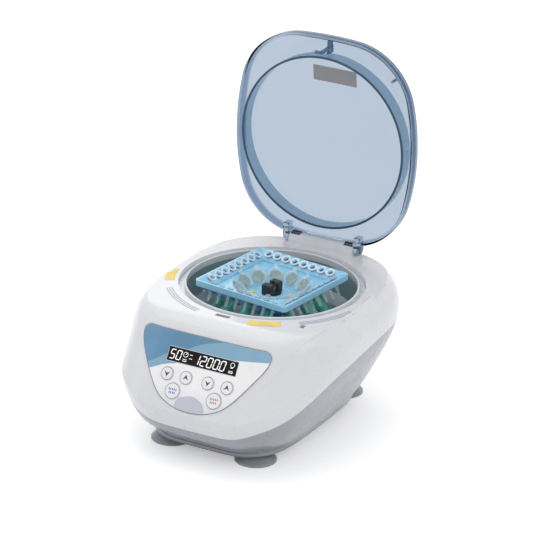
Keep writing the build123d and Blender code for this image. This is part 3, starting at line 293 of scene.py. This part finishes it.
def clear_stuff():
    """Clear and glassy finishes by slot."""
    return {
        "tube_clear": finish(
            "tube_polypropylene", (0.86, 0.95, 1.0), 0.15, coat=0.8, cover=0.13, grain=(900, 0.02),
            mottle=(80, 0.02),
        ),
        "tube_green": finish(
            "green_filling", (0.02, 0.70, 0.48), 0.2, soft=0.1, grain=(700, 0.03), mottle=(60, 0.12)
        ),
        # Clear lid: faces that turn sideways to the front-rear axis carry painted shade on the outer edges,
        # and a little painted light on the ring's walls
        "lid_clear": finish(
            "lid_acrylic", (0.42, 0.485, 0.56), 0.03, clear=1.0, ior=1.18, grain=(60, 0.01),
            mottle=(12, 0.01), smear=0.015, tint=((0.25, 0.40, 0.56), 45.0),
            facing=("Y", 0.25, 0.85, (0.17, 0.25, 0.36), 1.0),
            within=(OPEN_RING_HEIGHT, RING_OUTSIDE, (0.42, 0.54, 0.64)),
        ),
        "display_glass": finish(
            "display_black", (0.014, 0.009, 0.007), 0.3, ior=1.22, grain=(600, 0.01), mottle=(60, 0.2)
        ),
        "fuse_glass": finish("fuse_glass", (0.85, 0.87, 0.87), 0.08, clear=0.6, grain=(800, 0.02)),
    }


def metals():
    """Metal and electrical finishes by slot."""
    return {
        "steel": finish(
            "zinc_steel", (0.60, 0.60, 0.61), 0.34, metal=1.0, grain=(1200, 0.08), brushed=(1, 1, 14)
        ),
        "bearing_steel": finish(
            "ground_steel", (0.66, 0.67, 0.69), 0.2, metal=1.0, grain=(2200, 0.05), brushed=(1, 1, 12)
        ),
        "bowl_metal": finish(
            "satin_bowl", (0.40, 0.49, 0.52), 0.34, metal=0.45, grain=(500, 0.05), brushed=(1, 1, 10),
            mottle=(30, 0.06),
        ),
        "bright_aluminium": finish(
            "sink_aluminium", (0.68, 0.69, 0.70), 0.32, metal=1.0, grain=(1600, 0.08), brushed=(1, 1, 0.1)
        ),
        "copper": finish(
            "winding_copper", (0.62, 0.30, 0.14), 0.3, metal=0.9, grain=(1400, 0.4), brushed=(1, 1, 0.1)
        ),
        "iron": finish(
            "lamination_iron", (0.20, 0.20, 0.21), 0.45, metal=0.8, grain=(2000, 0.3), brushed=(0.05, 0.05, 1)
        ),
        "board_green": finish(
            "solder_mask", (0.05, 0.22, 0.10), 0.35, coat=0.5, grain=(900, 0.15), mottle=(200, 0.2)
        ),
        "chip_black": finish("chip_resin", (0.035, 0.035, 0.038), 0.5, grain=(2500, 0.1), mottle=(150, 0.2)),
    }


def own_finishes():
    """Finishes of single nodes that differ from the rest of their slot."""
    return {
        "lid_hook": finish("hook_blue", (0.16, 0.30, 0.46), 0.15, clear=0.6, ior=1.3, grain=(900, 0.03)),
        "tube_caps": finish("cap_mint", (0.84, 0.97, 0.97), 0.2, coat=0.5, cover=0.24, grain=(900, 0.03)),
        "tube_strips": finish(
            "strip_clear", (0.86, 0.95, 1.0), 0.15, coat=0.6, cover=0.8, grain=(900, 0.02),
            facing=("Z", 0.5, 0.95, (0.80, 0.93, 1.0), 0.15),
        ),
    }


def inks():
    """Finishes of printing, labels and lit figures."""
    film, fine = {"coat": 0.3, "grain": (1800, 0.02)}, {"grain": (1500, 0.03)}
    return {
        "line_grey": finish("film_edge", (0.22, 0.23, 0.26), 0.4, mottle=(90, 0.1), **fine),
        "black": finish("sign_ink", (0.05, 0.055, 0.07), 0.4, mottle=(90, 0.1), **fine),
        "blue": finish("sign_blue", (0.06, 0.16, 0.42), 0.4, **fine),
        "red": finish("sign_red", (0.62, 0.10, 0.12), 0.4, **fine),
        "pale_blue": finish("film_pale_blue", (0.24, 0.44, 0.60), 0.3, mottle=(25, 0.05), **film),
        "deep_blue": finish("film_deep_blue", (0.12, 0.29, 0.47), 0.3, mottle=(25, 0.08), **film),
        "foot_grey": finish("film_grey", (0.58, 0.60, 0.68), 0.35, coat=0.2, grain=(1800, 0.02)),
        "lit": finish("display_lit", (0.90, 0.93, 0.95), 0.4, glow=0.45),
        "window_frame": finish("display_frame", (0.60, 0.70, 0.80), 0.35, coat=0.2),
        "yellow": finish("label_yellow", (0.86, 0.66, 0.16), 0.45, grain=(1500, 0.04), mottle=(60, 0.08)),
        "arc_grey": finish("arc_grey", (0.30, 0.31, 0.35), 0.4, **fine),
        # Rotor blue darkened: painted shade down the bores of the small tubes
        "shaded_bore_blue": finish(
            "shaded_bore_blue", (0.03, 0.22, 0.55), 0.35, coat=0.3, grain=(900, 0.03), mottle=(200, 0.2)
        ),
    }


def dress_nodes():
    """Gives each node of the frame its finish."""
    own = own_finishes()
    slot_of = {row["node"]: row["material_slot"] for row in frame["record"]["subparts"]}
    for name, node in nodes.items():
        node.data.materials.clear()
        node.data.materials.append(own.get(name) or finishes[slot_of[name]])


# Meshes
def piece(name, points, faces, material, body, slot, smooth=True):
    """A new piece from points in millimetres, riding on a body."""
    mesh = bpy.data.meshes.new(name)
    mesh.from_pydata(place(points).tolist(), [], [[int(i) for i in face] for face in faces])
    mesh.materials.append(material)
    mesh.polygons.foreach_set("use_smooth", np.full(len(mesh.polygons), smooth))
    mesh.update()
    made = bpy.data.objects.new(name, mesh)
    bpy.context.scene.collection.objects.link(made)
    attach(made, body)
    return made


def grid_faces(rows, columns, closed_rows=False, closed_columns=False, flip=False):
    """Quads of a grid of rows by columns points, either way round closed on itself."""
    i = np.arange(rows if closed_rows else rows - 1)
    j = np.arange(columns if closed_columns else columns - 1)
    i, j = [a.ravel() for a in np.meshgrid(i, j, indexing="ij")]
    i1, j1 = (i + 1) % rows, (j + 1) % columns
    quads = np.stack([i * columns + j, i1 * columns + j, i1 * columns + j1, i * columns + j1], 1)
    return quads[:, ::-1] if flip else quads


def curve_through(points, x):
    """Smooth curve through (x, y) points: cubic with slopes from the neighbours."""
    points = np.asarray(points, float)
    px, py = points[:, 0], points[:, 1]
    slope = np.gradient(py, px)
    i = np.clip(np.searchsorted(px, x) - 1, 0, len(px) - 2)
    h = px[i + 1] - px[i]
    t = np.clip((x - px[i]) / h, 0, 1)
    return (
        (1 + 2 * t) * (1 - t) ** 2 * py[i]
        + t * (1 - t) ** 2 * h * slope[i]
        + t * t * (3 - 2 * t) * py[i + 1]
        + t * t * (t - 1) * h * slope[i + 1]
    )


def on_node(node_name):
    """Search tree of a node's own mesh, in the row frame."""
    mesh = nodes[node_name].data
    points, faces = [v.co.copy() for v in mesh.vertices], [tuple(p.vertices) for p in mesh.polygons]
    return BVHTree.FromPolygons(points, faces)


# Front sheet
def on_panel(x, up, lift=0.0, bow=True):
    """Points of the front sheet at x and up its slope, lifted off it.

    The sheet stands back by a sixth power of x; bow=False leaves that out, for flat caps and glass.
    """
    x, up, lift = np.broadcast_arrays(np.asarray(x, float), np.asarray(up, float), np.asarray(lift, float))
    y = KEY_ROW_DEPTH + up * math.cos(SHEET_SLOPE) - lift * math.sin(SHEET_SLOPE)
    y = y + bow * BOW * (np.abs(x) / BOW_AT) ** BOW_POWER
    z = KEY_ROW_HEIGHT + up * math.sin(SHEET_SLOPE) + lift * math.cos(SHEET_SLOPE)
    return np.stack([x, y, z], -1)


def between(name, xs, low, high, lift, material, steps=14, holes=()):
    """Film on the front sheet between two edge curves low(x) and high(x), with round holes (x, up, radius).

    Points nearer to a hole's edge than snap move onto it, and the faces inside the hole are left out.
    """
    snap, slack = 0.55, 1e-4
    s = np.linspace(0, 1, steps)
    x = np.repeat(xs, steps) + FILM_X
    up = (low[:, None] + s * (high - low)[:, None]).ravel() + FILM_UP
    faces = grid_faces(len(xs), steps)
    for hole_x, hole_up, radius in holes:
        away = np.hypot(x - hole_x, up - hole_up)
        near = np.abs(away - radius) < snap
        x[near] = hole_x + (x[near] - hole_x) * radius / away[near]
        up[near] = hole_up + (up[near] - hole_up) * radius / away[near]
        away = np.hypot(x - hole_x, up - hole_up)[faces]
        faces = faces[(away.min(1) > radius - slack) & (away.max(1) > radius + slack)]
    used, faces = np.unique(faces, return_inverse=True)
    return piece(name, on_panel(x, up, lift)[used], faces.reshape(-1, 4), material, "casing", "panel_film")


def ribbon(name, path, width, lift, material, body, slot, bow=True):
    """Flat line of one width round a closed path of (x, up) points on the front sheet."""
    path = np.asarray(path, float)
    ahead = np.roll(path, -1, 0) - np.roll(path, 1, 0)
    side = np.stack([-ahead[:, 1], ahead[:, 0]], 1)
    side /= np.linalg.norm(side, axis=1)[:, None]
    edges = np.stack([path - side * width / 2, path + side * width / 2], 1)
    points = on_panel(edges[..., 0], edges[..., 1], lift, bow).reshape(-1, 3)
    return piece(name, points, grid_faces(len(path), 2, closed_rows=True), material, body, slot)


def ring(name, x, up, radius, width, lift, material, body, slot):
    """Flat round line on the front sheet."""
    angle = np.linspace(0, 2 * math.pi, 64, endpoint=False)
    path = np.stack([x + radius * np.cos(angle), up + radius * np.sin(angle)], 1)
    return ribbon(name, path, width, lift, material, body, slot, bow=False)


def bars(name, ends, width, lift, material, body, slot):
    """One mesh of flat bars on the front sheet, each a quad round the line between its two ends."""
    ends = np.asarray(ends, float)
    ahead = ends[:, 1] - ends[:, 0]
    ahead /= np.linalg.norm(ahead, axis=1)[:, None]
    side = np.stack([-ahead[:, 1], ahead[:, 0]], 1) * width / 2
    corners = np.stack([ends[:, 0] - side, ends[:, 1] - side, ends[:, 1] + side, ends[:, 0] + side], 1)
    points = on_panel(corners[..., 0], corners[..., 1], lift, bow=False).reshape(-1, 3)
    return piece(name, points, np.arange(len(points)).reshape(-1, 4), material, body, slot, smooth=False)


def rounded_top(x, corner_start, corner_width, corner_height):
    """Upper edge of the film: level, with a quarter ellipse down at each end."""
    into = np.clip((np.abs(x) - corner_start) / corner_width, 0, 1)
    return FILM_TOP + corner_height * np.sqrt(np.clip(1 - into**2, 0, 1))


def panel_film():
    """White film with holes for the keys, its border, the blue band, the deeper corner and the grey foot."""
    columns, rows = 241, 90
    x = FILM_HALF * np.sin(np.linspace(-math.pi / 2, math.pi / 2, columns))
    low, high = curve_through(FILM_LOWER_EDGE, np.abs(x)), rounded_top(x, 50.4, 8.0, 6.6)
    holes = [(key_x, up, radius + KEY_GAP) for key_x, up, radius, _ in KEYS.values()]
    film = between("panel_film", x, low, high, FILM_LIFT, finishes["panel_film"], rows, holes)
    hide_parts("panel_overlay")
    outline = np.concatenate([np.stack([x, low], 1), np.stack([x, high], 1)[::-1][1:-1]]) + (FILM_X, FILM_UP)
    ribbon("panel_border", outline, BORDER_WIDTH, BORDER_LIFT, ink["line_grey"], "casing", "panel_film")

    x = x[np.abs(x) < FILM_HALF - 0.5]
    low = curve_through(FILM_LOWER_EDGE, np.abs(x)) + FILM_INSET
    low, high = np.maximum(low, curve_through(BAND_LOWER_EDGE, x)), rounded_top(x, 50.2, 7.8, 6.2)
    between("panel_blue_band", x, low, high, BAND_LIFT, ink["pale_blue"])
    corner = x < CORNER_END
    low, high, x = low[corner], high[corner], x[corner]
    low = np.clip(curve_through(CORNER_LOWER_EDGE, x), low, high)
    between("panel_deep_corner", x, low, high, CORNER_LIFT, ink["deep_blue"])

    x = np.linspace(FOOT_UPPER_EDGE[0][0], FOOT_UPPER_EDGE[-1][0], 28)
    low = curve_through(FILM_LOWER_EDGE, np.abs(x)) + FOOT_INSET
    high = np.maximum(low, curve_through(FOOT_UPPER_EDGE, x))
    between("panel_grey_foot", x, low, high, BAND_LIFT, ink["foot_grey"])


def key_signs():
    """Ring and sign on each key: an arrow up or down, or two rows of strokes."""
    line, margin, stroke, half_stroke, pitch = 0.42, 0.3, 0.8, 0.85, 1.55
    arrow = np.array([(0.0, -2.5), (2.5, 1.9), (0.0, 0.4), (-2.5, 1.9)])
    for key, (x, up, radius, sign) in KEYS.items():
        where = (key, "key_white")
        ring(key + "_ring", x, up, radius - margin, line, KEY_SIGN_LIFT, ink["line_grey"], *where)
        if sign in ("down", "up"):
            corners = arrow * (1, 1 if sign == "down" else -1) + (x, up)
            faces = [(0, 1, 2), (0, 2, 3)] if sign == "down" else [(2, 1, 0), (3, 2, 0)]
            points = on_panel(corners[:, 0], corners[:, 1], KEY_SIGN_LIFT, bow=False)
            piece(key + "_sign", points, faces, ink["black"], *where, smooth=False)
            continue
        strokes = []
        for rise, count in ((1.3, 5), (-1.5, 4)):
            for i in range(count):
                stroke_x = x + (i - (count - 1) / 2) * pitch
                strokes.append([(stroke_x, up + rise - half_stroke), (stroke_x, up + rise + half_stroke)])
        color = ink["blue"] if sign == "pulse" else ink["red"]
        bars(key + "_sign", strokes, stroke, KEY_SIGN_LIFT, color, *where)


def figure_segments(text, left, base, width, height, pitch):
    """Bars of seven-segment figures that lean a little, as (start, end) points on the front sheet."""
    segments = {
        "a": ((0, 1), (1, 1)), "b": ((1, 1), (1, 0.5)), "c": ((1, 0.5), (1, 0)), "d": ((0, 0), (1, 0)),
        "e": ((0, 0), (0, 0.5)), "f": ((0, 0.5), (0, 1)), "g": ((0, 0.5), (1, 0.5)),
    }
    figures = {"0": "abcdef", "1": "bc", "2": "abged", "5": "afgcd"}
    lean, share = 0.14, 0.86
    found = []
    for i, figure in enumerate(text):
        for segment in figures[figure]:
            ends = np.array(segments[segment], float)
            ends = ends.mean(0) + (ends - ends.mean(0)) * share
            across = left + i * pitch + ends[:, 0] * width + ends[:, 1] * height * lean
            found.append(np.stack([across, base + ends[:, 1] * height], 1))
    return found


def display():
    """Figures, small marks and rings behind the display window, and the window's thin frame."""
    material, where = ink["lit"], ("casing", "display_glass")
    figure_line, mark_line, ring_line, frame_line = 0.78, 0.5, 0.4, 0.5
    figures = figure_segments("50", -29.6, 12.7, 3.7, 7.4, 5.6)
    figures += figure_segments("12000", -7.6, 12.3, 3.9, 7.8, 5.9)
    figures.append([(15.3, 12.3), (15.3, 13.0)])
    bars("display_figures", figures, figure_line, FIGURE_LIFT, material, *where)
    marks = [
        [(-17.6, 14.0), (-14.0, 14.0)], [(-17.6, 12.6), (-14.0, 12.6)], [(-12.2, 18.6), (-9.6, 18.6)],
        [(-12.2, 15.6), (-9.6, 15.6)], [(-15.8, 18.0), (-14.9, 19.1)], [(24.4, 13.6), (28.4, 13.6)],
        [(24.4, 12.4), (28.4, 12.4)], [(25.2, 16.4), (27.6, 16.4)],
    ]
    bars("display_marks", marks, mark_line, FIGURE_LIFT, material, *where)
    ring("display_ring_minutes", -15.8, 18.0, 2.0, ring_line, FIGURE_LIFT, material, *where)
    ring("display_ring_speed", 26.8, 18.8, 1.8, ring_line, FIGURE_LIFT, material, *where)
    half, low, middle, high = 31.6, 10.3, 16.3, 22.4
    rim = [(-half, low), (0, low), (half, low), (half, middle)]
    rim += [(half, high), (0, high), (-half, high), (-half, middle)]
    ribbon("display_frame", rim, frame_line, WINDOW_FRAME_LIFT, ink["window_frame"], *where, bow=False)


# Deck, sides and rotor
def draped(name, xy, tree, lift, material, body, slot):
    """Patch given as a grid of (x, y) points, each dropped straight down on a node and lifted off it."""
    above, down = 150.0, Vector((0, 0, -1))
    rows, columns = xy.shape[:2]
    flat = xy.reshape(-1, 2)
    starts = place(np.column_stack([flat, np.full(len(flat), above)]))
    hits = [tree.ray_cast(Vector(start), down)[0] for start in starts]
    heights = np.array([hit.z * 1000 if hit else DECK_HEIGHT for hit in hits]) + lift
    points = np.column_stack([flat, heights])
    return piece(name, points, grid_faces(rows, columns), material, body, slot)


def sector(r0, r1, a0, a1, rings=3, steps=24):
    """Grid of (x, y) points between two radii and two angles in degrees."""
    r = np.linspace(r0, r1, rings)[:, None]
    a = np.radians(np.linspace(a0, a1, steps))[None]
    return np.stack([r * np.cos(a), r * np.sin(a)], -1)


def deck_marks(deck):
    """Two blank yellow labels and two groups of three thin arcs round the chamber."""
    where = ("casing", "panel_film")
    label_lift, arc_lift, arc_width = 0.12, 0.10, 0.7
    draped("deck_label_left", sector(80.2, 88.6, -168.5, -151.5), deck, label_lift, ink["yellow"], *where)
    front = sector(80.6, 90.2, -74.5, -57.0, 6)
    draped("deck_label_front", front, deck, label_lift, ink["yellow"], *where)
    for i, r in enumerate((83.2, 85.4, 87.6)):
        for side, start, end in (("left", -141.0, -106.0), ("right", -47.0, -13.0)):
            arc = sector(r, r + arc_width, start, end, 2, 30)
            draped(f"deck_arc_{side}_{i}", arc, deck, arc_lift, ink["arc_grey"], *where)


def side_crease(deck):
    """Low rounded ridge along the crease: sections laid on the casing, which swell and fade by sines."""
    lift, start, end, swell_rate, fade_rate = 0.02, 0.04, 1.04, 1.6, 5
    line = np.array(CREASE)
    along = np.concatenate([[0], np.cumsum(np.linalg.norm(np.diff(line, axis=0), axis=1))])
    even = np.linspace(0, along[-1], 120)
    line = np.stack([curve_through(np.stack([along, line[:, i]], 1), even) for i in range(3)], 1)
    section = ((-1.5, -0.1), (-0.5, 0.34), (0.5, 0.42), (1.3, -0.1))
    rows = []
    for point, step, share in zip(line, np.gradient(line, axis=0), even / along[-1]):
        foot, normal = deck.find_nearest(Vector(place(point)))[:2]
        foot, normal = np.array(foot) * 1000 - (0, AXIS_TO_CENTRE, 0), np.array(normal)
        across = np.cross(step / np.linalg.norm(step), normal)
        rise, fall = min(1.0, start + share * swell_rate), min(1.0, (end - share) * fade_rate)
        swell = math.sin(math.pi * rise / 2) * math.sin(math.pi * fall / 2)
        rows.append([foot + across * a + normal * (lift + b * swell) for a, b in section])
    points = np.array(rows).reshape(-1, 3)
    faces = grid_faces(len(rows), len(section), flip=True)
    piece("side_crease", points, faces, finishes["casing_white"], "casing", "casing_white")


def shoulder(name, side, deck):
    """Skin that eases the step behind the front sheet's end: on each level it falls off along a cubic.

    Behind the step the skin starts from the line of the front sheet, carried on at its own slope.
    """
    outside, search, sheet_slope, lift, dip = 150, 3, 0.24, 0.06, 0.1
    levels = np.linspace(SHOULDER_LOW, SHOULDER_HIGH, 43)
    depths = np.arange(-90, -48, 0.25)
    inward = Vector((-side, 0, 0))
    steps, heights, reaches = [], [], []
    for z in levels:
        hits = [deck.ray_cast(Vector(place((side * outside, y, z))), inward)[0] for y in depths]
        reach = np.array([abs(hit.x) * 1000 if hit else np.nan for hit in hits])
        rise = np.diff(reach)
        near = np.abs(depths[1:] - np.interp(z, STEP_HEIGHTS, STEP_DEPTHS)) < search
        jump = np.nanargmax(np.where(near, rise, -9))
        steps.append(depths[jump + 1])
        heights.append(max(0.0, rise[jump] - 0.1))
        reaches.append(reach)
    eased_steps = np.polyval(np.polyfit(levels, steps, 4, w=np.add(heights, 0.01)), levels)
    eased_heights = np.convolve(np.pad(heights, 2, "edge"), np.ones(5) / 5, "valid")
    eased_heights *= np.sin(np.linspace(0, math.pi, len(levels))) ** 0.3
    s = np.linspace(0, 1, 24)
    rows = []
    for z, eased, step, reach, height in zip(levels, eased_steps, steps, reaches, eased_heights):
        y = eased + 0.3 - SHOULDER_REACH * s
        ahead = np.interp(step - 0.5, depths, reach) + sheet_slope * (y - step + 0.5)
        base = np.where(y > step - 0.3, ahead, np.interp(y, depths, reach))
        x = base + height * (1 - s) ** 2 * (1 + 2 * s) + lift - dip * s**4
        rows.append(np.stack([side * x, y, np.full_like(y, z)], -1))
    faces = grid_faces(len(levels), len(s), flip=side < 0)
    piece(name, np.array(rows).reshape(-1, 3), faces, finishes["casing_white"], "casing", "casing_white")


def strip_shade():
    """Painted shade down the bore of each small tube, in a darkened blue of the rotor: a shallow parabolic
    dish, eight on each of four sides.
    """
    rings, steps, centre, rim, drop = 5, 20, 0.05, 0.4, 1.6
    radius = np.linspace(centre, BORE_RADIUS, rings)[:, None]
    angle = np.linspace(0, 2 * math.pi, steps, endpoint=False)[None]
    depth = rim - drop * (1 - (radius / BORE_RADIUS) ** 2) + 0 * angle
    dish = np.stack([radius * np.cos(angle), radius * np.sin(angle), depth], -1).reshape(-1, 3)
    dish_faces = grid_faces(rings, steps, closed_columns=True).tolist() + [list(range(steps))]
    c, s = math.cos(BAND_SLOPE), math.sin(BAND_SLOPE)
    lean = np.array([[c, 0, -s], [0, 1, 0], [s, 0, c]])
    points, faces = [], []
    for side in range(4):
        a = side * math.pi / 2 + ROTOR_TURN
        c, s = math.cos(a), math.sin(a)
        turned = np.array([[c, -s, 0], [s, c, 0], [0, 0, 1]])
        for i in range(8):
            first = len(points) * len(dish)
            points.append((dish @ lean.T + (ROW_HALF, (i - 3.5) * TUBE_PITCH, BAND_HEIGHT)) @ turned.T)
            faces += [[first + corner for corner in face] for face in dish_faces]
    piece("strip_shade", np.concatenate(points), faces, ink["shaded_bore_blue"], "rotor", "blue_plastic")


def tray_labels():
    """Two small yellow wedges on the tray beside the nut."""
    start, length, half_width, point = 12.8, 6.5, 4.2, 0.02
    tray = on_node("rotor_tray")
    s, w = np.meshgrid(np.linspace(0, 1, 4), np.linspace(-1, 1, 5), indexing="ij")
    for i, degrees in enumerate((20.0, 200.0)):
        angle = math.radians(degrees) + ROTOR_TURN
        out = np.array([math.cos(angle), math.sin(angle)])
        across = np.array([-math.sin(angle), math.cos(angle)])
        patch = out * (start + length * s)[..., None] + across * (w * half_width * (point + s))[..., None]
        draped(f"tray_label_{i}", patch, tray, 0.15, ink["yellow"], "rotor", "panel_film")


# Studio
def seen_rays(tree):
    """One for camera, glossy and transmission rays, nought for the rays that light the object."""
    path = add(tree, "LightPath", {})
    largest = path.outputs["Is Camera Ray"]
    for kind in ("Is Glossy Ray", "Is Transmission Ray"):
        largest = add(tree, "Math", {0: largest, 1: path.outputs[kind]}, operation="MAXIMUM").outputs["Value"]
    return largest


def pale_floor():
    """Pale matt floor; camera, gloss and glass see it lifted to white where no shadow falls."""
    material = bpy.data.materials.new("floor_white")
    material.use_nodes = True
    tree = material.node_tree
    half, glow = 6, 0.36
    lift = add(tree, "Math", {0: seen_rays(tree), 1: glow}, operation="MULTIPLY").outputs["Value"]
    values = {
        "Base Color": (0.90, 0.90, 0.91, 1),
        "Roughness": 0.6,
        "Specular IOR Level": 0.1,
        "Emission Color": (1, 1, 1, 1),
        "Emission Strength": lift,
    }
    for key, value in values.items():
        feed(tree, tree.nodes["Principled BSDF"].inputs[key], value)
    mesh = bpy.data.meshes.new("floor")
    corners = [(-half, -half, 0), (half, -half, 0), (half, half, 0), (-half, half, 0)]
    mesh.from_pydata(corners, [], [(0, 1, 2, 3)])
    mesh.materials.append(material)
    floor = bpy.data.objects.new("floor", mesh)
    bpy.context.scene.collection.objects.link(floor)


def world_light():
    """Even soft light from all round, seen as plain white."""
    world = bpy.data.worlds.new("studio")
    bpy.context.scene.world = world
    world.use_nodes = True
    tree = world.node_tree
    ambient = tree.nodes["Background"]
    ambient.inputs["Color"].default_value = (1, 1, 1, 1)
    ambient.inputs["Strength"].default_value = 0.72
    seen = add(tree, "Background", {"Color": (1, 1, 1, 1), "Strength": 1.0})
    choice = {0: seen_rays(tree), 1: ambient.outputs["Background"], 2: seen.outputs["Background"]}
    choose = add(tree, "MixShader", choice)
    feed(tree, tree.nodes["World Output"].inputs["Surface"], choose.outputs["Shader"])


def lamp(name, spot, size, power):
    """Soft square lamp at spot, in metres, that faces the object."""
    data = bpy.data.lights.new(name, "AREA")
    data.shape = "SQUARE"
    data.size = size
    data.energy = power
    made = bpy.data.objects.new(name, data)
    made.location = spot
    made.rotation_mode = "QUATERNION"
    made.rotation_quaternion = (Vector((0, 0, 0.1)) - Vector(spot)).to_track_quat("-Z", "Y")
    bpy.context.scene.collection.objects.link(made)


def camera():
    """Long lens from the front right, a little above: angles in radians, distance in metres."""
    azimuth, elevation, roll, distance = 0.485, 0.400, 0.0273, 2.6366
    aim = Vector(place((0.0, 0.0, 117.35)))
    level = math.cos(elevation)
    back = Vector((math.sin(azimuth) * level, -math.cos(azimuth) * level, math.sin(elevation)))
    data = bpy.data.cameras.new("camera")
    data.sensor_width = 36.0
    data.lens = 209.65
    data.shift_x = 0.0048
    data.shift_y = 0.0025
    data.clip_end = 50.0
    made = bpy.data.objects.new("camera", data)
    bpy.context.scene.collection.objects.link(made)
    bpy.context.scene.camera = made
    turn = (-back).to_track_quat("-Z", "Y").to_matrix().to_4x4() @ Matrix.Rotation(roll, 4, "Z")
    made.matrix_world = Matrix.Translation(aim + back * distance) @ turn


finishes = {**mouldings(), **clear_stuff(), **metals()}
ink = inks()
dress_nodes()

panel_film()
key_signs()
display()
deck = on_node("upper_housing")
deck_marks(deck)
side_crease(deck)
shoulder("right_shoulder", 1, deck)
shoulder("left_shoulder", -1, deck)
strip_shade()
tray_labels()

camera()
pale_floor()
world_light()
lamp("lamp_top", (-0.3, 0.1, 1.6), 1.2, 5.0)
lamp("lamp_left", (-1.3, -0.9, 0.9), 0.9, 1.2)
lamp("lamp_right", (1.4, -0.2, 0.9), 0.8, 2.2)
lamp("lamp_back", (-0.9, 1.0, 1.1), 0.8, 3.0)
bpy.context.scene.view_settings.view_transform = "Standard"
